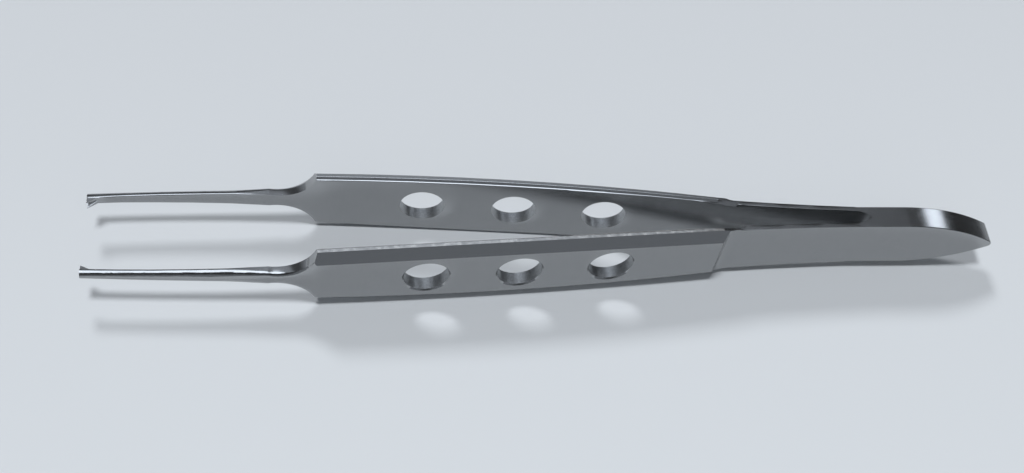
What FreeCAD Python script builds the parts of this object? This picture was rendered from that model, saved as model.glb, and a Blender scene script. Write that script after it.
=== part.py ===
import FreeCAD, Part
import os
import Sketcher

# Tissue forceps with one tooth on one tip and two on the other. Two equal spring blades face
# each other across the plane Y = 0 and are welded into one block behind the slit between them.
# Lengths are in millimetres. X runs from the tips to the tail, Y opens the blades and Z is
# the blade's width. The forceps lie on the long edges of their grips, at Z = 0.

SIZES = (
    ("shaft_length", 25.95, "tip of a blade to the front of its grip"),
    ("grip_length", 47.05, "front of the grip to the top of its rear step"),
    ("step_run", 2.3, "length of the hollow step down from grip to spring"),
    ("spring_length", 14.7, "foot of the step to the mouth of the slit"),
    ("tail_length", 18.0, "mouth of the slit to the end of the tail"),
    ("tip_gap", 4.8, "inner face to the centre plane at the tip"),
    ("shaft_gap", 5.1, "the same halfway along the shaft"),
    ("front_gap", 4.75, "the same at the front of the grip"),
    ("grip_gap", 3.49, "the same halfway from there to the foot of the step"),
    ("foot_gap", 1.56, "the same at the foot of the step"),
    ("spring_gap", 1.14, "the same halfway along the spring"),
    ("slit_gap", 0.88, "the same at the mouth of the slit"),
    ("tip_thickness", 0.88, "shaft at the tip"),
    ("middle_thickness", 0.96, "shaft halfway to the flare"),
    ("shaft_thickness", 1.04, "shaft where it meets the flare"),
    ("grip_thickness", 1.68, "plate of the grip"),
    ("step_height", 1.18, "rise of the step above the spring"),
    ("spring_thickness", 0.6, "strip of the spring, and each half of the tail's mouth"),
    ("tip_width", 1.08, "shaft at the tip"),
    ("shaft_width", 2.06, "shaft where it meets the flare"),
    ("front_width", 8.9, "grip at its front"),
    ("grip_width", 9.74, "grip at its middle"),
    ("rear_width", 8.5, "grip at its rear step"),
    ("foot_width", 7.9, "spring at the foot of the step"),
    ("tail_width", 7.4, "spring at the slit, and tail"),
    ("flare_length", 5.45, "hollow widening from shaft to grip"),
    ("flare_hollow", 0.95, "how far the flare bows in from a straight line"),
    ("flare_bow", 0.06, "how far the flare bows in when seen from above"),
    ("step_hollow", 0.3, "how far the rear step bows in from a straight line"),
    ("bevel_width", 1.2, "long bevel of the grip, across its outer face"),
    ("bevel_depth", 0.96, "the same bevel, across the long edge"),
    ("shaft_rounding", 0.5, "outer long edges of shaft and flare"),
    ("softening_width", 0.5, "bevel on the inner long edges of the grip, across its face"),
    ("softening_depth", 0.3, "the same bevel, across the long edge"),
    ("hole_count", 3, "grip holes in a row"),
    ("hole_diameter", 5.29, "grip holes"),
    ("hole_pitch", 10.83, "centre to centre of the grip holes"),
    ("hole_offset", 12.36, "front of the grip to the first hole centre"),
    ("rim_softening", 0.17, "outer rims of the grip holes, broken by this much each way"),
    ("tooth_length", 1.25, "root of a tooth along the blade"),
    ("tooth_height", 0.7, "point of a tooth above the inner face"),
    ("tooth_land", 0.08, "blunt point of a tooth"),
    ("tooth_setback", 0.15, "end of the blade to the point of a tooth"),
    ("tooth_root", 0.15, "depth of a tooth's root inside the blade"),
    ("single_tooth_width", 0.84, "root of the single tooth across the blade"),
    ("notch_root", 0.08, "bottom of the notch between the two teeth"),
    ("slit_depth", 1.85, "pointed end of the slit, inside the tail"),
    ("slit_bow", 0.12, "how far the walls of that point bow out"),
    ("weld_gap", 0.04, "running clearance between a blade and the tail"),
    ("arch_length", 11.7, "pointed arch of the tail, from its straight edges to the end"),
    ("point_radius", 0.55, "blunt end of the arch"),
    ("tail_softening", 0.12, "edges of the tail"),
)

PAIR = 2  # the upper and the lower one of two equal edges
SAME_PLACE = 0.1  # edges of the model that end this close together end at one station
SAME_POINT = 1e-6  # the same, for the two ends of a line in a sketch

doc = FreeCAD.newDocument("TissueForceps")
sheet = doc.addObject("Spreadsheet::Sheet", "Sizes")
for row, (name, value, note) in enumerate(SIZES, start=1):
    sheet.set("A%d" % row, name)
    sheet.set("B%d" % row, str(value))
    sheet.setAlias("B%d" % row, name)
    sheet.set("C%d" % row, note)
doc.recompute()


class Length:
    """A number together with the formula that ties it to the sheet."""

    def __init__(self, number, formula):
        self.number = number
        self.formula = formula

    def joined(self, sign, other, number):
        return Length(number, "(%s %s %s)" % (self.formula, sign, formula_of(other)))

    def __add__(self, other):
        return self.joined("+", other, self.number + number_of(other))

    def __sub__(self, other):
        return self.joined("-", other, self.number - number_of(other))

    def __mul__(self, other):
        return self.joined("*", other, self.number * number_of(other))

    def __truediv__(self, other):
        return self.joined("/", other, self.number / number_of(other))


def number_of(value):
    return value.number if isinstance(value, Length) else float(value)


def formula_of(value):
    return value.formula if isinstance(value, Length) else repr(value)


def size(name):
    return Length(float(sheet.get(name)), "Sizes." + name)


def middle(low, high):
    return (low + high) / 2


# Stations along X, from the tips to the tail, with the origin halfway.
front_half = size("shaft_length") + size("grip_length")
overall = front_half + size("step_run") + size("spring_length") + size("tail_length")
tip_x = overall / -2
front_x = tip_x + size("shaft_length")
flare_x = front_x - size("flare_length")
rear_x = front_x + size("grip_length")
foot_x = rear_x + size("step_run")
slit_x = foot_x + size("spring_length")
tail_x = slit_x + size("tail_length")

shaft_middle_x = middle(tip_x, flare_x)
grip_middle_x = middle(front_x, foot_x)
spring_middle_x = middle(foot_x, slit_x)
tail_half = size("slit_gap") + size("spring_thickness")
zero = size("tip_gap") * 0


class Outline:
    """A closed outline in a sketch. Two distances from the origin hold each of its points."""

    def __init__(self, sketch, x, y):
        self.sketch = sketch
        self.first = (x, y)
        self.here = (x, y)
        self.start = None
        self.end = None

    def hold(self, geometry, place, point):
        for kind, value in zip(("DistanceX", "DistanceY"), point):
            held = Sketcher.Constraint(kind, -1, 1, geometry, place, value.number)
            index = self.sketch.addConstraint(held)
            label = "%s_%d_%d" % (kind, geometry, place)
            self.sketch.renameConstraint(index, label)
            self.sketch.setExpression("Constraints." + label, value.formula)

    def draw(self, curve, target):
        geometry = self.sketch.addGeometry(curve, False)
        forward = self.sketch.getPoint(geometry, 1).isEqual(vector(self.here), SAME_POINT)
        near, far = (1, 2) if forward else (2, 1)
        self.hold(geometry, near, self.here)
        if self.start is None:
            self.start = (geometry, near)
        else:
            self.sketch.addConstraint(Sketcher.Constraint("Coincident", *self.end, geometry, near))
        self.end = (geometry, far)
        self.here = target
        return geometry

    def line(self, x, y):
        self.draw(Part.LineSegment(vector(self.here), vector((x, y))), (x, y))

    def arc(self, through_x, through_y, x, y):
        through = (through_x, through_y)
        arc = self.draw(Part.Arc(vector(self.here), vector(through), vector((x, y))), (x, y))
        point = self.sketch.addGeometry(Part.Point(vector(through)), True)
        self.hold(point, 1, through)
        self.sketch.addConstraint(Sketcher.Constraint("PointOnObject", point, 1, arc))

    def close(self):
        self.line(*self.first)
        self.sketch.addConstraint(Sketcher.Constraint("Coincident", *self.end, *self.start))


def vector(point):
    return FreeCAD.Vector(point[0].number, point[1].number, 0)


def origin_feature(body, role):
    return [feature for feature in body.Origin.OriginFeatures if feature.Role == role][0]


def new_sketch(body, role, name):
    sketch = body.newObject("Sketcher::SketchObject", name)
    sketch.AttachmentSupport = [(origin_feature(body, role), "")]
    sketch.MapMode = "FlatFace"
    doc.recompute()
    return sketch


def symmetric(body, kind, sketch, name, length=None):
    """Pads a sketch, or cuts with it, evenly to both sides of its plane."""
    feature = body.newObject(kind, name)
    feature.Profile = sketch
    feature.SideType = "Symmetric"
    if length is None:
        feature.Type = "ThroughAll"
    else:
        feature.Type = "Length"
        feature.setExpression("Length", length.formula)
    doc.recompute()
    return feature


def edges_where(feature, test):
    """Names of the edges that pass the test."""
    return ["Edge%d" % number for number, edge in enumerate(feature.Shape.Edges, start=1) if test(edge)]


def long_edges(feature, start_x, end_x, sides=(1, -1)):
    """Names of the edges that run along the blade between two stations, innermost first."""
    found = []
    for number, edge in enumerate(feature.Shape.Edges, start=1):
        box = edge.BoundBox
        starts = abs(box.XMin - start_x.number) < SAME_PLACE
        ends = abs(box.XMax - end_x.number) < size("bevel_depth").number
        beside = any(edge.CenterOfMass.z * side > 0 for side in sides)
        if starts and ends and beside:
            found.append((edge.CenterOfMass.y, "Edge%d" % number))
    return [name for height, name in sorted(found)]


def rounded(body, feature, edges, radius, name):
    fillet = body.newObject("PartDesign::Fillet", name)
    fillet.Base = (feature, edges)
    fillet.setExpression("Radius", radius.formula)
    doc.recompute()
    return fillet


def bevelled(body, feature, edges, depth, width, name, face_first=False):
    """Cuts a chamfer that is depth wide across the long edge and width wide across the face."""
    chamfer = body.newObject("PartDesign::Chamfer", name)
    chamfer.Base = (feature, edges)
    chamfer.ChamferType = "Two distances"
    chamfer.setExpression("Size", depth.formula)
    chamfer.setExpression("Size2", width.formula)
    chamfer.FlipDirection = face_first
    doc.recompute()
    return chamfer


def draw_plan(sketch):
    """The blade seen from above: inner face, mouth of the slit, outer face, end of the tip."""
    strip = size("spring_thickness")
    plate = size("grip_thickness")
    foot_y = size("foot_gap") + strip
    step_y = foot_y + size("step_height")
    flare_y = size("shaft_gap") + size("shaft_thickness")
    front_y = size("front_gap") + plate
    outline = Outline(sketch, tip_x, size("tip_gap"))
    outline.arc(middle(tip_x, front_x), size("shaft_gap"), front_x, size("front_gap"))
    outline.arc(grip_middle_x, size("grip_gap"), foot_x, size("foot_gap"))
    outline.arc(spring_middle_x, size("spring_gap"), slit_x, size("slit_gap"))
    outline.line(slit_x, tail_half)
    outline.arc(spring_middle_x, size("spring_gap") + strip, foot_x, foot_y)
    hollow = size("step_hollow")
    outline.arc(middle(rear_x, foot_x) - hollow, middle(foot_y, step_y) - hollow, rear_x, step_y)
    outline.arc(grip_middle_x, size("grip_gap") + plate, front_x, front_y)
    outline.arc(middle(flare_x, front_x), middle(flare_y, front_y) - size("flare_bow"), flare_x, flare_y)
    shaft_y = middle(size("tip_gap"), size("shaft_gap")) + size("middle_thickness") + size("flare_bow")
    outline.arc(shaft_middle_x, shaft_y, tip_x, size("tip_gap") + size("tip_thickness"))
    outline.close()


def draw_waste(sketch, side):
    """What is cut away above the blade's upper edge (side 1) or below its lower one (side -1)."""

    def edge(name):
        return size(name) * side / 2

    beyond = size("grip_width") * side
    before_x = tip_x - size("tip_width")
    after_x = slit_x + size("tip_width")
    hollow_x = middle(flare_x, front_x) + size("flare_hollow")
    hollow_z = middle(edge("shaft_width"), edge("front_width")) - size("flare_hollow") * side
    outline = Outline(sketch, before_x, beyond)
    outline.line(before_x, edge("tip_width"))
    outline.line(tip_x, edge("tip_width"))
    outline.line(flare_x, edge("shaft_width"))
    outline.arc(hollow_x, hollow_z, front_x, edge("front_width"))
    outline.arc(grip_middle_x, edge("grip_width"), rear_x, edge("rear_width"))
    outline.line(foot_x, edge("foot_width"))
    outline.line(slit_x, edge("tail_width"))
    outline.line(after_x, edge("tail_width"))
    outline.line(after_x, beyond)
    outline.close()


def draw_hole(sketch):
    """The first hole of the grip, on the middle line of the blade."""
    centre_x = front_x + size("hole_offset")
    diameter = size("hole_diameter")
    round_hole = Part.Circle(vector((centre_x, zero)), FreeCAD.Vector(0, 0, 1), diameter.number / 2)
    circle = sketch.addGeometry(round_hole, False)
    sketch.addConstraint(Sketcher.Constraint("PointOnObject", circle, 3, -1))
    index = sketch.addConstraint(Sketcher.Constraint("DistanceX", -1, 1, circle, 3, centre_x.number))
    sketch.setExpression("Constraints[%d]" % index, centre_x.formula)
    index = sketch.addConstraint(Sketcher.Constraint("Diameter", circle, diameter.number))
    sketch.setExpression("Constraints[%d]" % index, diameter.formula)


def blade(name):
    """One blade on the +Y side, without its teeth: shaft, flare, grip with holes, and spring."""
    body = doc.addObject("PartDesign::Body", name)
    plan = new_sketch(body, "XY_Plane", name + "_plan")
    draw_plan(plan)
    symmetric(body, "PartDesign::Pad", plan, name + "_stock", size("grip_width") + size("bevel_width"))
    sides = new_sketch(body, "XZ_Plane", name + "_waste")
    for side in (1, -1):
        draw_waste(sides, side)
    doc.recompute()
    symmetric(body, "PartDesign::Pocket", sides, name + "_outline")

    hole = new_sketch(body, "XZ_Plane", name + "_hole")
    draw_hole(hole)
    first = symmetric(body, "PartDesign::Pocket", hole, name + "_first_hole")
    row = body.newObject("PartDesign::LinearPattern", name + "_holes")
    row.Originals = [first]
    row.Direction = (origin_feature(body, "X_Axis"), [""])
    row.setExpression("Occurrences", "Sizes.hole_count")
    row.setExpression("Length", "Sizes.hole_pitch * (Sizes.hole_count - 1)")
    body.Tip = row
    doc.recompute()

    outer = long_edges(row, front_x, rear_x)[-PAIR:]
    bevels = bevelled(body, row, outer, size("bevel_depth"), size("bevel_width"), name + "_bevels")

    outer = long_edges(bevels, tip_x, flare_x)[-PAIR:] + long_edges(bevels, flare_x, front_x)[-PAIR:]
    shaft = rounded(body, bevels, outer, size("shaft_rounding"), name + "_shaft")

    depth, width = size("softening_depth"), size("softening_width")
    lower = long_edges(shaft, front_x, rear_x, (-1,))[:1]
    half = bevelled(body, shaft, lower, depth, width, name + "_lower_edge")
    upper = long_edges(half, front_x, rear_x, (1,))[:1]
    grip = bevelled(body, half, upper, depth, width, name + "_upper_edge", face_first=True)

    def bore_end(edge):
        box = edge.BoundBox
        closed = edge.isClosed() and abs(edge.CenterOfMass.z) < SAME_PLACE
        return closed and abs(box.ZLength - size("hole_diameter").number) < SAME_PLACE

    def outer_rim(edge):
        across = [other.CenterOfMass.y for other in grip.Shape.Edges if bore_end(other)
                  and abs(other.CenterOfMass.x - edge.CenterOfMass.x) < size("hole_pitch").number / 2]
        return bore_end(edge) and edge.CenterOfMass.y > middle(min(across), max(across))

    broken = size("rim_softening")
    bevelled(body, grip, edges_where(grip, outer_rim), broken, broken, name + "_rims")
    return body


def add_tooth(body, name, root_low, root_high, point_low, point_high):
    """A tooth on the inner face of the tip: a wedge from its root to a narrow land."""
    tooth = body.newObject("PartDesign::AdditiveWedge", name)
    point_x = tip_x + size("tooth_setback")
    limits = {
        "Ymin": size("tip_gap") - size("tooth_height"),
        "Ymax": size("tip_gap") + size("tooth_root"),
        "Xmin": point_x,
        "Xmax": point_x + size("tooth_land"),
        "X2min": tip_x,
        "X2max": tip_x + size("tooth_length"),
        "Zmin": point_low,
        "Zmax": point_high,
        "Z2min": root_low,
        "Z2max": root_high,
    }
    for label, value in limits.items():
        setattr(tooth, label, value.number)
    for label, value in limits.items():
        tooth.setExpression(label, value.formula)
    doc.recompute()
    return tooth


def settle(body, turn=FreeCAD.Rotation()):
    """Turns a body about its own middle line and raises it until the grips' edges lie on Z = 0."""
    rise = size("grip_width") / 2
    body.Placement = FreeCAD.Placement(FreeCAD.Vector(0, 0, rise.number), turn)
    body.setExpression("Placement.Base.z", rise.formula)


half_turn = FreeCAD.Rotation(FreeCAD.Vector(1, 0, 0), 180)


def single_tooth_arm():
    """The near blade: one tooth in the middle of the tip."""
    body = blade("single_tooth_arm")
    root = size("single_tooth_width") / 2
    land = size("tooth_land") / 2
    add_tooth(body, "single_tooth", root * -1, root, land * -1, land)
    settle(body, half_turn)
    return body


def double_tooth_arm():
    """The far blade: a tooth at each edge of the tip, with the notch for the single one between."""
    body = blade("double_tooth_arm")
    edge = size("tip_width") / 2
    tooth = add_tooth(body, "upper_tooth", size("notch_root") / 2, edge, edge - size("tooth_land"), edge)
    pair = body.newObject("PartDesign::Mirrored", "both_teeth")
    pair.Originals = [tooth]
    pair.MirrorPlane = (origin_feature(body, "XY_Plane"), [""])
    body.Tip = pair
    settle(body)
    return body


def draw_arch(sketch, mouth_x):
    """The tail's side: straight edges that run on smoothly into a pointed arch with a blunt end."""
    half = size("tail_width") / 2
    arch_x = tail_x - size("arch_length")
    blunt = size("point_radius")
    centre_x = tail_x - blunt
    reach = (centre_x - arch_x).number
    radius = (reach ** 2 + half.number ** 2 - blunt.number ** 2) / (2 * (half - blunt).number)
    share = radius / (radius - blunt.number)
    meet_x = arch_x.number + reach * share
    meet_z = (radius - half.number) * (share - 1)
    fall = radius - (radius ** 2 - (reach / 2) ** 2) ** 0.5
    middle_x = arch_x.number + reach / 2
    middle_z = half.number - fall

    def at(x, z):
        return FreeCAD.Vector(x, z, 0)

    mouth = mouth_x.number
    edge = half.number
    upper_line = Part.LineSegment(at(mouth, edge), at(arch_x.number, edge))
    lower_line = Part.LineSegment(at(mouth, -edge), at(arch_x.number, -edge))
    upper_arc = Part.Arc(at(arch_x.number, edge), at(middle_x, middle_z), at(meet_x, meet_z))
    lower_arc = Part.Arc(at(arch_x.number, -edge), at(middle_x, -middle_z), at(meet_x, -meet_z))
    blunt_arc = Part.Arc(at(meet_x, meet_z), at(tail_x.number, 0), at(meet_x, -meet_z))
    front = sketch.addGeometry(Part.LineSegment(at(mouth, -edge), at(mouth, edge)), False)
    upper = sketch.addGeometry(upper_line, False)
    lower = sketch.addGeometry(lower_line, False)
    above = sketch.addGeometry(upper_arc, False)
    below = sketch.addGeometry(lower_arc, False)
    nose = sketch.addGeometry(blunt_arc, False)
    sketch.addConstraint([
        Sketcher.Constraint("Coincident", front, 2, upper, 1),
        Sketcher.Constraint("Coincident", front, 1, lower, 1),
        Sketcher.Constraint("Horizontal", upper),
        Sketcher.Constraint("Horizontal", lower),
        Sketcher.Constraint("Tangent", upper, 2, above, 2),
        Sketcher.Constraint("Tangent", lower, 2, below, 1),
        Sketcher.Constraint("Tangent", above, 1, nose, 2),
        Sketcher.Constraint("Tangent", below, 2, nose, 1),
        Sketcher.Constraint("PointOnObject", nose, 3, -1),
        Sketcher.Constraint("Symmetric", front, 1, front, 2, -1),
        Sketcher.Constraint("Vertical", upper, 2, lower, 2),
    ])
    held = (
        ("DistanceY", upper, 1, half),
        ("DistanceX", upper, 1, mouth_x),
        ("DistanceX", upper, 2, arch_x),
        ("DistanceX", nose, 3, centre_x),
    )
    for kind, geometry, place, value in held:
        index = sketch.addConstraint(Sketcher.Constraint(kind, -1, 1, geometry, place, value.number))
        sketch.setExpression("Constraints[%d]" % index, value.formula)
    index = sketch.addConstraint(Sketcher.Constraint("Radius", nose, blunt.number))
    sketch.setExpression("Constraints[%d]" % index, blunt.formula)


def welded_tail():
    """Both blades' ends as one block: pointed arch outline, and the pointed end of the slit."""
    body = doc.addObject("PartDesign::Body", "welded_tail")
    mouth_x = slit_x + size("weld_gap")
    side = new_sketch(body, "XZ_Plane", "tail_outline")
    draw_arch(side, mouth_x)
    symmetric(body, "PartDesign::Pad", side, "tail_block", tail_half * 2)

    slit_end = new_sketch(body, "XY_Plane", "slit_end")
    apex_x = slit_x + size("slit_depth")
    bow_x = middle(mouth_x, apex_x) + size("slit_bow")
    bow_y = size("slit_gap") / 2 + size("slit_bow")
    outline = Outline(slit_end, mouth_x, size("slit_gap"))
    outline.arc(bow_x, bow_y, apex_x, zero)
    outline.arc(bow_x, bow_y * -1, mouth_x, size("slit_gap") * -1)
    outline.close()
    slit = symmetric(body, "PartDesign::Pocket", slit_end, "slit")

    def outer_edge(edge):
        box = edge.BoundBox
        on_face = box.YLength < SAME_PLACE and abs(abs(edge.CenterOfMass.y) - tail_half.number) < SAME_PLACE
        return on_face and box.XLength > SAME_PLACE

    rounded(body, slit, edges_where(slit, outer_edge), size("tail_softening"), "soft_edges")
    settle(body)
    return body


parts = (single_tooth_arm(), double_tooth_arm(), welded_tail())
doc.recompute()

for item in doc.Objects:
    if "Invalid" in item.State or "Error" in item.State:
        raise RuntimeError("%s has failed" % item.Label)
for body in parts:
    if body.Shape.isNull() or not body.Shape.isValid():
        raise RuntimeError("%s has no good solid" % body.Label)
    if len(body.Shape.Solids) != 1:
        raise RuntimeError("%s is not one solid" % body.Label)

os.makedirs("parts", exist_ok=True)
for body in parts:
    body.Shape.exportStep("parts/%s.step" % body.Label)
    box = body.Shape.BoundBox
    print("%-18s %7.1f mm3  X %.2f to %.2f  Y %.2f to %.2f  Z %.2f to %.2f"
          % (body.Label, body.Shape.Volume, box.XMin, box.XMax, box.YMin, box.YMax, box.ZMin, box.ZMax))
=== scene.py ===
"""Looks of the tissue forceps: satin steel blades that bend into one welded tail."""
import math
import bpy
from mathutils import Matrix, Vector


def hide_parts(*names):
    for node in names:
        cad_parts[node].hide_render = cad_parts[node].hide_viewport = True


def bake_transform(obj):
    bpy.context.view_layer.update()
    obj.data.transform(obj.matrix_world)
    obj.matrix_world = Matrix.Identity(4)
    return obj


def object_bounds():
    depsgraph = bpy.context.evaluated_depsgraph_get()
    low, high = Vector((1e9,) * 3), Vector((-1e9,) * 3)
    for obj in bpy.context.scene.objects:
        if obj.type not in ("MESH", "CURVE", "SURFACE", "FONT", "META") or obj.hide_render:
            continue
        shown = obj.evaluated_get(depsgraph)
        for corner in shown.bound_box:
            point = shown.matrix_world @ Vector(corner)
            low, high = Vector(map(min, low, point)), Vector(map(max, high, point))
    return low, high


MM = 0.001

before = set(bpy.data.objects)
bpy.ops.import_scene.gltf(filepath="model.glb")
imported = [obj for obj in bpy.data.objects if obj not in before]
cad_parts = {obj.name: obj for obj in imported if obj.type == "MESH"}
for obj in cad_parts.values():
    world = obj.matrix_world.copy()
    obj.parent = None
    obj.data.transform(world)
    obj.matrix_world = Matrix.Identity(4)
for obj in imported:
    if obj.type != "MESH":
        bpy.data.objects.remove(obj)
cad_box = [list(corner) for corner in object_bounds()]

# Places along the forceps, in metres, as in the part's source.
TIP_X = -54 * MM
TEETH_X = TIP_X + 1.4 * MM  # the teeth lie in front of this
FLARE_X = -33 * MM  # the shaft widens from here
FRONT_X = -28.05 * MM  # front end of the grip
REAR_X = 19 * MM  # rear end of the grip, head of the rear step
FOOT_X = 21.3 * MM  # foot of the rear step, front end of the spring strip
SLIT_X = 36 * MM  # rear end of the spring strip
TAIL_X = 36.04 * MM  # front end of the tail
MIDDLE_Z = 4.87 * MM  # middle of the blades' width
HOLES_X = (-15.69 * MM, -4.86 * MM, 5.97 * MM)
HOLE_RADIUS = 2.645 * MM

# Along a shaft: place, inner face and outer face from the middle plane, half of its width.
SHAFT = tuple(tuple(size * MM for size in row) for row in (
    (-54.0, 4.800, 5.682, 0.541), (-50.0, 4.962, 5.808, 0.636), (-46.0, 5.062, 5.917, 0.732),
    (-41.0, 5.100, 6.028, 0.851), (-36.0, 5.041, 6.110, 0.971), (-33.0, 4.960, 6.147, 0.948)))


# ---- working on meshes

SELECT_ALL = (bpy.ops.mesh.select_all, {"action": "SELECT"})


def work_on(piece):
    """Leaves only this piece selected, and active."""
    bpy.ops.object.select_all(action="DESELECT")
    piece.select_set(True)
    bpy.context.view_layer.objects.active = piece


def edit(*steps):
    """Runs edit-mode steps on the active piece: each is an operator with its settings."""
    bpy.ops.object.mode_set(mode="EDIT")
    for operator, settings in steps:
        operator(**settings)
    bpy.ops.object.mode_set(mode="OBJECT")


def deselect(mesh):
    """Leaves nothing of a mesh selected, in object mode."""
    for group in (mesh.vertices, mesh.edges, mesh.polygons):
        group.foreach_set("select", [False] * len(group))


def select_faces(piece, wanted):
    """Selects the faces for which wanted(face) holds, in object mode."""
    bpy.context.tool_settings.mesh_select_mode = (False, False, True)
    deselect(piece.data)
    for face in piece.data.polygons:
        face.select = wanted(face)


def shape_edges(piece, wanted, operator, **settings):
    """Runs an operator on the edges for which wanted(middle, normals of the faces beside it) holds."""
    mesh = piece.data
    normals = {}
    for face in mesh.polygons:
        for key in face.edge_keys:
            normals.setdefault(key, []).append(face.normal.copy())
    deselect(mesh)
    for edge in mesh.edges:
        start, end = (mesh.vertices[corner].co for corner in edge.vertices)
        edge.select = wanted((start + end) / 2, normals.get(edge.key, []))
    edit((bpy.ops.mesh.select_mode, {"type": "EDGE"}), (operator, settings))


def cut_lengths(start, end, count):
    """Cuts the active piece into this many equal lengths between two places."""
    steps = []
    for cut in range(1, count):
        place = (start + (end - start) * cut / count, 0, 0)
        steps += [SELECT_ALL, (bpy.ops.mesh.bisect, {"plane_co": place, "plane_no": (1, 0, 0)})]
    edit(*steps)


def cut_level(piece, wanted, height):
    """Cuts the faces for which wanted(face) holds at one height."""
    select_faces(piece, wanted)
    edit((bpy.ops.mesh.bisect, {"plane_co": (0, 0, height), "plane_no": (0, 0, 1)}))


def fold(normals):
    """Angle between the two faces at an edge, in degrees."""
    return math.degrees(normals[0].angle(normals[1], 0)) if len(normals) == 2 else 0


# ---- blades; side is -1 for the near blade and 1 for the far one

def bevel_step(piece, side):
    """Carries the grip's long bevel on over the rear step."""
    head_inner, foot_inner = 1.77, 1.56  # inner face from the middle plane, in mm
    bevel_start = 3.05 * MM  # from the middle of the width
    thickness = 1.56 * MM  # of the grip where the bevel starts
    slope = 0.8  # depth that the bevel loses over its height
    for up in (1, -1):
        cut_level(piece, lambda face: REAR_X - 0.01 * MM < face.center.x < FOOT_X + 0.01 * MM,
                  MIDDLE_Z + up * bevel_start)
    for vertex in piece.data.vertices:
        share = (vertex.co.x - REAR_X) / (FOOT_X - REAR_X)
        past = abs(vertex.co.z - MIDDLE_Z) - bevel_start
        vertex.select = -0.01 < share < 1 and past > 0
        if vertex.select:
            inner = (head_inner + (foot_inner - head_inner) * share) * MM
            vertex.co.y = side * min(vertex.co.y * side, inner + (thickness - past * slope))
    bpy.context.tool_settings.mesh_select_mode = (True, False, False)
    edit((bpy.ops.mesh.remove_doubles, {"threshold": 0.04 * MM}))


def shape_long_edges(piece, side):
    """Grinds the grip's inner edges as two facets and breaks the sharp edges along the blade."""
    margin = 0.1 * MM

    def sharp(normals, lean):
        """Whether an edge is sharp and runs along the blade; lean is the most a face may turn to its ends."""
        return fold(normals) > 60 and all(abs(normal.x) < lean for normal in normals)

    def shaft_edge(middle, normals):
        return TIP_X + 1.6 * MM < middle.x < FLARE_X - 0.6 * MM and sharp(normals, 0.5)

    def flare_edge(middle, normals):
        return FLARE_X - 0.6 * MM < middle.x < FRONT_X - 0.25 * MM and sharp(normals, 0.93)

    def strip_edge(middle, normals):
        return middle.x > FOOT_X + margin and sharp(normals, 0.5)

    def beside_ground(normals):
        """Whether a face at the edge is the slanting one ground along a grip's inner edge."""
        return any(0.3 < abs(normal.z) < 0.97 and normal.y * side < -0.3 for normal in normals)

    def at_inner_face(normals):
        return any(abs(normal.y) > 0.95 for normal in normals)

    def at_long_side(normals):
        return any(abs(normal.z) > 0.98 for normal in normals)

    def inner_edge(middle, normals):
        return FRONT_X < middle.x < REAR_X and beside_ground(normals) and at_inner_face(normals)

    def outer_edge(middle, normals):
        return FRONT_X < middle.x < REAR_X and beside_ground(normals) and at_long_side(normals)

    def across_ground(middle, normals):
        return (FRONT_X - margin < middle.x < REAR_X + margin and beside_ground(normals)
                and not at_inner_face(normals) and not at_long_side(normals))

    # The edge at the inner face moves towards the long side, and a new fold lies back from it.
    lip_shift, fold_in, fold_back = 0.15 * MM, 0.02, 0.125
    for up in (1, -1):
        shape_edges(piece, lambda middle, normals: (
            (middle.z - MIDDLE_Z) * up > 0 and inner_edge(middle, normals)),
            bpy.ops.transform.translate, value=(0, 0, lip_shift * up))
    corners = len(piece.data.vertices)
    shape_edges(piece, across_ground, bpy.ops.mesh.subdivide, number_cuts=1)
    for vertex in piece.data.vertices[corners:]:
        up = 1 if vertex.co.z > MIDDLE_Z else -1
        vertex.co += Vector((0, -fold_in * side, -fold_back * up)) * MM

    for wanted, width, clamped in (
            (flare_edge, 0.10, True), (shaft_edge, 0.15, False), (strip_edge, 0.05, False),
            (inner_edge, 0.045, False), (outer_edge, 0.045, False)):
        shape_edges(piece, wanted, bpy.ops.mesh.bevel,
                    offset=width * MM, segments=3, affect="EDGES", clamp_overlap=clamped)


def shaft_at(x):
    """Inner face, outer face and half width of a shaft at x."""
    for row, following in zip(SHAFT, SHAFT[1:]):
        if x <= following[0]:
            share = max(0, (x - row[0]) / (following[0] - row[0]))
            return [size + (other - size) * share for size, other in zip(row[1:], following[1:])]
    return SHAFT[-1][1:]


def round_shaft(piece, side):
    """Gives the outer side of a shaft its even half-round section and leans the teeth forward."""
    land = 0.2 * MM  # flat that is left beside the inner face
    row_spacing = 0.13 * MM  # between the cuts along the shaft
    fade_length = 6 * MM  # over which the rounding dies out before the flare
    tooth_root = 0.05 * MM  # how far past the inner face a tooth begins
    lean = 0.65  # how far a tooth's point leans forward for each unit that it stands out
    cut_lengths(TIP_X, FLARE_X, 15)
    for row in range(-3, 4):
        cut_level(piece, lambda face: face.center.x < FLARE_X and face.normal.y * side > 0.3,
                  MIDDLE_Z + row * row_spacing)
    for vertex in piece.data.vertices:
        if vertex.co.x < FLARE_X:
            inner, outer, half = shaft_at(vertex.co.x)
            share = min(1, abs(vertex.co.z - MIDDLE_Z) / half)
            bulge = land + (outer - inner - land) * math.sqrt(1 - share ** 2)
            depth = vertex.co.y * side - inner
            fade = min(1, (FLARE_X - vertex.co.x) / fade_length)
            fade = fade ** 2 * (3 - 2 * fade)
            if vertex.co.x < TEETH_X:
                vertex.co.x = max(vertex.co.x - lean * max(0, -depth - tooth_root), TIP_X)
            if depth > bulge:
                vertex.co.y = side * (inner + depth + (bulge - depth) * fade)


def in_bore(face):
    """Whether a face is part of the wall of a grip hole."""
    off = min(math.hypot(face.center.x - x, face.center.z - MIDDLE_Z) for x in HOLES_X)
    return off < HOLE_RADIUS + 0.01 * MM and abs(face.normal.y) < 0.3


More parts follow.
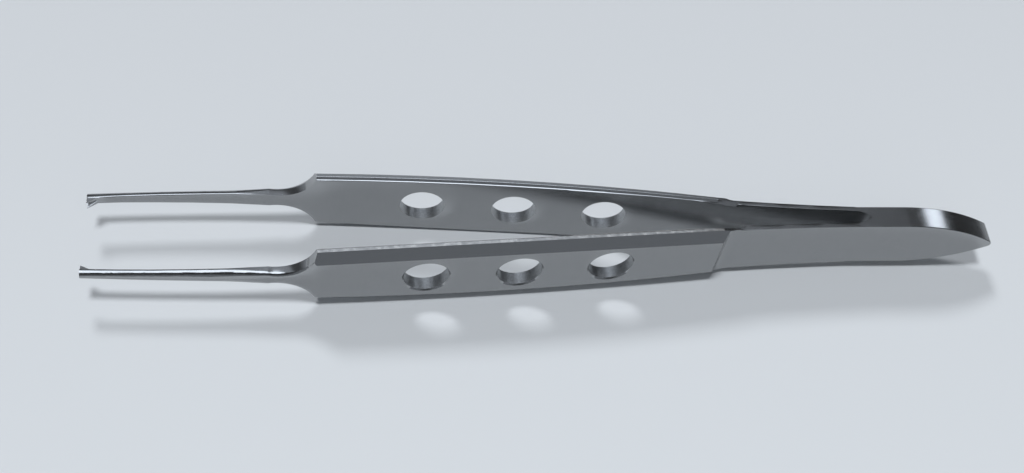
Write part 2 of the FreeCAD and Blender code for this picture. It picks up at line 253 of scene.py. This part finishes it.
def in_single_tooth(face):
    """Whether a face of the near blade stands out past its inner face at the very tip."""
    return face.center.x < TEETH_X and -face.center.y < shaft_at(face.center.x)[0] - 0.02 * MM


def blade(node, name, side, wear):
    """A blade: a merged copy of the CAD blade, its strip cut into short lengths."""
    piece = bpy.data.objects.new(name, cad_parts[node].data.copy())
    bpy.context.scene.collection.objects.link(piece)
    work_on(piece)
    edit(SELECT_ALL, (bpy.ops.mesh.customdata_custom_splitnormals_clear, {}),
         (bpy.ops.mesh.remove_doubles, {"threshold": 0.002 * MM}))
    bevel_step(piece, side)
    shape_edges(piece, lambda middle, normals: middle.x > SLIT_X - 0.001 * MM,
                bpy.ops.transform.translate, value=(TAIL_X - SLIT_X, 0, 0))
    cut_lengths(FOOT_X, SLIT_X, 24)
    shape_long_edges(piece, side)
    round_shaft(piece, side)
    edit(SELECT_ALL, (bpy.ops.mesh.dissolve_degenerate, {"threshold": 0.001 * MM}))
    bpy.ops.object.shade_smooth_by_angle(angle=math.radians(29))

    even = piece.modifiers.new("even_shading", "WEIGHTED_NORMAL")
    even.keep_sharp = True
    even.weight = 50
    bpy.ops.object.modifier_apply(modifier=even.name)
    worn = piece.data.attributes.new("edge_wear", "FLOAT", "FACE")
    worn.data.foreach_set("value", [
        wear if abs(face.normal.z) > 0.9 and FRONT_X < face.center.x < REAR_X else 0.0
        for face in piece.data.polygons])
    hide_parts(node)
    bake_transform(piece)
    return piece


# ---- shader nodes

def node_in(tree, kind, place, inputs=None, **settings):
    """Adds a shader node; inputs gives its sockets a value or another node's socket."""
    node = tree.nodes.new(kind)
    node.location = place
    for option, value in settings.items():
        setattr(node, option, value)
    for socket, value in (inputs or {}).items():
        if isinstance(value, bpy.types.NodeSocket):
            tree.links.new(value, node.inputs[socket])
        else:
            node.inputs[socket].default_value = value
    return node


def ranged(tree, place, source, start, end, low=0.0, high=1.0):
    """Carries a value that runs from start to end over to low to high."""
    return node_in(tree, "ShaderNodeMapRange", place, {
        "Value": source, "From Min": start, "From Max": end, "To Min": low, "To Max": high}).outputs[0]


def mixed(tree, place, base, other, share, blend="MIX"):
    """Mixes two colours; a Mix node has its share at socket 0, its colours at 6 and 7."""
    return node_in(tree, "ShaderNodeMix", place, {0: share, 6: base, 7: other},
                   data_type="RGBA", blend_type=blend).outputs[2]


# ---- materials

def brushed_grain():
    """Fine brush marks across the blades with faint clouds, shared by all the steel."""
    group = bpy.data.node_groups.new("brushed_grain", "ShaderNodeTree")
    for name, way in (("Speckles per Metre", "INPUT"), ("Mottle", "OUTPUT"), ("Brushing", "OUTPUT")):
        group.interface.new_socket(name, in_out=way, socket_type="NodeSocketFloat")
    asked = node_in(group, "NodeGroupInput", (-900, -300))
    place = node_in(group, "ShaderNodeTexCoord", (-900, 0)).outputs["Object"]
    across = node_in(group, "ShaderNodeMapping", (-700, 0), {"Vector": place, "Scale": (7000, 7000, 1500)})
    brushing = node_in(group, "ShaderNodeTexNoise", (-500, 0), {
        "Vector": across.outputs[0], "Scale": 1.0, "Detail": 3.0}).outputs[0]
    clouds = node_in(group, "ShaderNodeTexNoise", (-500, -300), {
        "Vector": place, "Scale": asked.outputs[0], "Detail": 5.0, "Roughness": 0.65}).outputs[0]
    mottle = node_in(group, "ShaderNodeMix", (-200, 0), {0: 0.45, 2: brushing, 3: clouds}, data_type="FLOAT")
    node_in(group, "NodeGroupOutput", (300, 0), {"Mottle": mottle.outputs[0], "Brushing": brushing})
    return group


def scuffing(tree):
    """How scuffed the steel is: irregular nicks where the piece's attribute edge_wear is set."""
    place = node_in(tree, "ShaderNodeTexCoord", (-1100, -500)).outputs["Object"]
    nicks = node_in(tree, "ShaderNodeTexNoise", (-900, -500), {
        "Vector": place, "Scale": 1700.0, "Detail": 4.0})
    uneven = ranged(tree, (-700, -500), nicks.outputs[0], 0.38, 0.64, 0.45, 0.9)
    worn = node_in(tree, "ShaderNodeAttribute", (-700, -750), attribute_name="edge_wear").outputs["Fac"]
    return node_in(tree, "ShaderNodeMath", (-450, -600), {0: uneven, 1: worn},
                   operation="MULTIPLY").outputs[0]


def steel_finish(name, grain, colour, contrast, roughness, metallic, depth, speckles, scuffed):
    """Steel with brushed grain; a scuffed one is lighter and duller where its edges are worn."""
    material = bpy.data.materials.new(name)
    material.use_nodes = True
    tree = material.node_tree
    tree.nodes.clear()
    steel = node_in(tree, "ShaderNodeBsdfPrincipled", (600, 0), {"Metallic": metallic})
    node_in(tree, "ShaderNodeOutputMaterial", (900, 0), {"Surface": steel.outputs[0]})
    brushed = node_in(tree, "ShaderNodeGroup", (-500, 0), {"Speckles per Metre": speckles}, node_tree=grain)
    mottle = brushed.outputs["Mottle"]
    dark, light = ([part * level for part in colour] + [1] for level in (1 - contrast, 1 + contrast))
    shown = mixed(tree, (-200, 200), dark, light, mottle)
    if scuffed:
        wear = scuffing(tree)
        worn_colour, worn_metallic = (0.92, 0.94, 0.96, 1), metallic - 0.27
        shown = mixed(tree, (100, 200), shown, worn_colour, wear)
        bare = ranged(tree, (100, 0), wear, 0.0, 1.0, metallic, worn_metallic)
        tree.links.new(bare, steel.inputs["Metallic"])
    rough = ranged(tree, (100, -200), mottle, 0.3, 0.7, roughness - 0.05, roughness + 0.05)
    bump = node_in(tree, "ShaderNodeBump", (300, -400), {
        "Strength": 0.2, "Distance": depth, "Height": brushed.outputs["Brushing"]})
    tree.links.new(shown, steel.inputs["Base Color"])
    tree.links.new(rough, steel.inputs["Roughness"])
    tree.links.new(bump.outputs[0], steel.inputs["Normal"])
    return material


def floor_material():
    """Pale floor with painted shade that darkens it a little towards the back, and darker where the steel
    reflects it.
    """
    material = bpy.data.materials.new("pale_floor")
    material.use_nodes = True
    tree = material.node_tree
    place = node_in(tree, "ShaderNodeTexCoord", (-900, 0)).outputs["Object"]
    split = node_in(tree, "ShaderNodeSeparateXYZ", (-700, 0), {"Vector": place})
    # Painted shade: the floor's colour darkens from front to back, standing in for light falling off.
    far = ranged(tree, (-500, 0), split.outputs["Y"], -0.05, 0.05)
    near_tone, painted_shade_tone, dimmed = (0.665, 0.708, 0.752, 1), (0.60, 0.635, 0.676, 1), (0.82, 0.82, 0.82, 1)
    painted_falloff_tone = mixed(tree, (-250, 0), near_tone, painted_shade_tone, far)
    reflected = node_in(tree, "ShaderNodeLightPath", (-500, 300)).outputs["Is Glossy Ray"]
    seen = mixed(tree, (-50, 0), painted_falloff_tone, dimmed, reflected, "MULTIPLY")
    surface = tree.nodes["Principled BSDF"]
    surface.inputs["Roughness"].default_value = 0.7
    tree.links.new(seen, surface.inputs["Base Color"])
    return material


# ---- camera, floor and light

def camera():
    """The photograph's view: 54 degrees above the table, a little from the left, slightly rolled."""
    turn, tilt, roll = (math.radians(angle) for angle in (14.477, 54.376, 11.778))
    target = Vector((-5.292, 0.005, 4.518)) * MM
    distance = 166.97  # from the target, in mm
    ahead = Vector((math.sin(turn) * math.cos(tilt), math.cos(turn) * math.cos(tilt), -math.sin(tilt)))
    level = Vector((math.cos(turn), -math.sin(turn), 0))
    rise = level.cross(ahead)
    right = math.cos(roll) * level + math.sin(roll) * rise
    up = math.cos(roll) * rise - math.sin(roll) * level
    lens = bpy.data.cameras.new("camera")
    lens.sensor_width = 36
    lens.lens = 49.923
    lens.clip_start = 0.01
    viewer = bpy.data.objects.new("camera", lens)
    bpy.context.scene.collection.objects.link(viewer)
    turned = Matrix((right, up, -ahead)).transposed().to_4x4()
    viewer.matrix_world = Matrix.Translation(target - ahead * distance * MM) @ turned
    bpy.context.scene.camera = viewer


def floor():
    """The table that the forceps lie on, level with the bottom of the solids."""
    bpy.ops.object.select_all(action="DESELECT")
    bpy.ops.mesh.primitive_plane_add(size=1.6, location=(0, 0, cad_box[0][2]))
    plane = bpy.context.object
    plane.name = "floor"
    plane.data.materials.append(floor_material())


def sun(name, direction, strength, softness):
    """A lamp far away in this direction, that the steel doesn't reflect; softness in degrees."""
    light = bpy.data.lights.new(name, "SUN")
    light.energy = strength
    light.angle = math.radians(softness)
    lamp = bpy.data.objects.new(name, light)
    lamp.rotation_euler = Vector(direction).to_track_quat("Z", "Y").to_euler()
    bpy.context.scene.collection.objects.link(lamp)
    lamp.visible_glossy = False


def brightness(tree, height, source, *stops):
    """Brightness along one direction; each stop gives a value of the direction and the level there."""
    low, high = stops[0][0], stops[-1][0]
    ramp = node_in(tree, "ShaderNodeValToRGB", (-600, height), {
        0: ranged(tree, (-800, height), source, low, high)})
    elements = ramp.color_ramp.elements
    while len(elements) < len(stops):
        elements.new(0.5)
    for element, (value, level) in zip(elements, stops):
        element.position = (value - low) / (high - low)
        element.color = (level, level, level, 1)
    return ramp.outputs[0]


def reflected_room(tree):
    """What the steel reflects: a dim room, darkest high in front and behind to the right, with a broad
    lamp straight overhead, a pale band high up behind and a small window behind to the right."""
    cool = (0.742, 0.804, 0.890, 1)
    window_direction = (0.627, 0.545, 0.557)
    place = node_in(tree, "ShaderNodeTexCoord", (-1200, 0)).outputs["Generated"]
    split = node_in(tree, "ShaderNodeSeparateXYZ", (-1000, 0), {"Vector": place})
    across, away, height = split.outputs
    front = brightness(tree, 400, height, (0.0, 0.26), (0.10, 0.25), (0.45, 0.25), (0.54, 0.05),
                       (0.925, 0.04), (0.96, 2.6), (1.0, 2.6))
    back = brightness(tree, 100, height, (0.0, 0.75), (0.14, 0.6), (0.36, 0.14), (0.62, 0.14),
                      (0.74, 0.95), (0.87, 0.95), (0.90, 0.8), (0.935, 5.5), (1.0, 5.5))
    sideways = brightness(tree, -200, across, (-1.0, 0.47), (0.14, 0.47), (0.34, 0.26),
                          (0.44, 0.08), (1.0, 0.08))
    behind = brightness(tree, 700, away, (-0.12, 0.0), (0.12, 1.0))
    towards = node_in(tree, "ShaderNodeVectorMath", (-800, -500), {
        0: place, 1: window_direction}, operation="DOT_PRODUCT")
    window = brightness(tree, -500, towards.outputs["Value"], (0.96, 0.0), (0.9935, 0.0),
                        (0.997, 2.5), (1.0, 2.5))
    back = mixed(tree, (-200, 0), back, sideways, 1.0, "MULTIPLY")
    walls = mixed(tree, (-200, 200), front, back, behind)
    lit = mixed(tree, (-200, -100), walls, window, 1.0, "ADD")
    return mixed(tree, (-200, -350), lit, cool, 1.0, "MULTIPLY")


def studio():
    """Soft light from all round and three suns; the camera sees a plain pale backdrop."""
    world = bpy.data.worlds.new("studio")
    bpy.context.scene.world = world
    world.use_nodes = True
    tree = world.node_tree
    tree.nodes.clear()
    ray = node_in(tree, "ShaderNodeLightPath", (0, 500))
    room = node_in(tree, "ShaderNodeBackground", (0, 100), {"Color": reflected_room(tree)})
    soft = node_in(tree, "ShaderNodeBackground", (0, -50), {"Color": (0.97, 1.0, 1.04, 1), "Strength": 0.10})
    plain = node_in(tree, "ShaderNodeBackground", (0, -200), {"Color": (0.60, 0.635, 0.676, 1)})
    reflected = node_in(tree, "ShaderNodeMixShader", (250, 100), {
        0: ray.outputs["Is Glossy Ray"], 1: soft.outputs[0], 2: room.outputs[0]})
    seen = node_in(tree, "ShaderNodeMixShader", (450, 0), {
        0: ray.outputs["Is Camera Ray"], 1: reflected.outputs[0], 2: plain.outputs[0]})
    node_in(tree, "ShaderNodeOutputWorld", (650, 0), {"Surface": seen.outputs[0]})
    sun("overhead_light", (-0.12, -0.075, 0.99), 1.78, 11)
    sun("front_light", (0.05, -0.80, 0.60), 0.34, 70)
    sun("back_light", (-0.235, 0.62, 0.77), 1.24, 13)


camera()
floor()
studio()
grain = brushed_grain()
satin_steel = steel_finish(
    "satin_steel", grain, colour=(0.47, 0.476, 0.482), contrast=0.12, roughness=0.155,
    metallic=0.97, depth=0.008 * MM, speckles=700, scuffed=True)
cut_steel = steel_finish(
    "cut_steel", grain, colour=(0.47, 0.483, 0.495), contrast=0.7, roughness=0.38,
    metallic=0.92, depth=0.06 * MM, speckles=2600, scuffed=False)
for node, name, side, wear in (
        ("single_tooth_arm", "near_blade_skin", -1, 1.0), ("double_tooth_arm", "far_blade_skin", 1, 0.1)):
    piece = blade(node, name, side, wear)
    piece.data.materials.clear()
    piece.data.materials.append(satin_steel)
    piece.data.materials.append(cut_steel)
    for face in piece.data.polygons:
        face.material_index = 1 if in_bore(face) or side < 0 and in_single_tooth(face) else 0
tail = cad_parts["welded_tail"]
tail.data.materials.clear()
tail.data.materials.append(satin_steel)

bpy.context.scene.view_settings.view_transform = "Standard"
